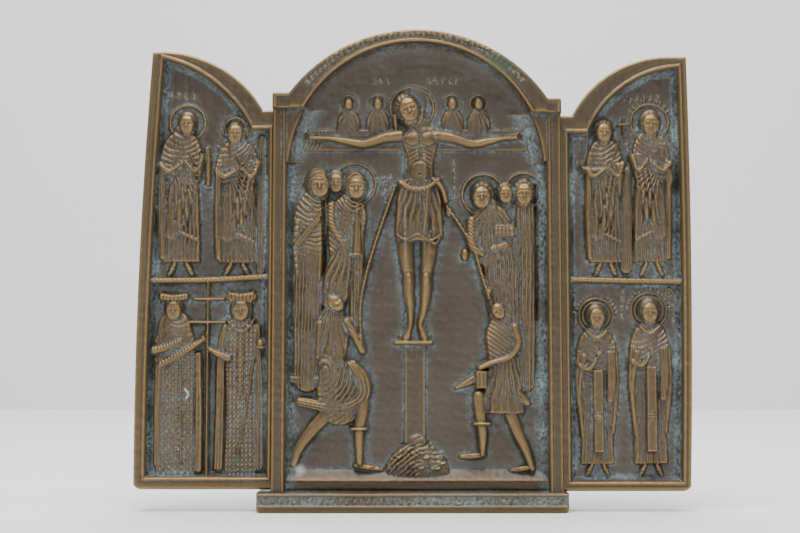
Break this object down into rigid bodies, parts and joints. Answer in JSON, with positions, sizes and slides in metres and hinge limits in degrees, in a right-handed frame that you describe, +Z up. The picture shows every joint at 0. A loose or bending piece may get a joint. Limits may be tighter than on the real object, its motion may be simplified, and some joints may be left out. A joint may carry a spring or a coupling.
{
  "type": "triptych plaque",
  "caption": "Cast bronze altarpiece plaque in the form of an open triptych: round-headed centre with a deep recess, two wings, figures in relief and a base band.",
  "frame": {"origin": "on the ground under the middle of the part's box, at the underside of the base band", "axes": "+Z up, carved front towards -Y, +X to the right as seen from the front"},
  "size_m": [0.2806, 0.024, 0.2433],
  "materials": {
    "bronze": "satin, patinated"
  },
  "bodies": {
    "root": {"triptych_plaque": "bronze"}
  },
  "joints": []
}
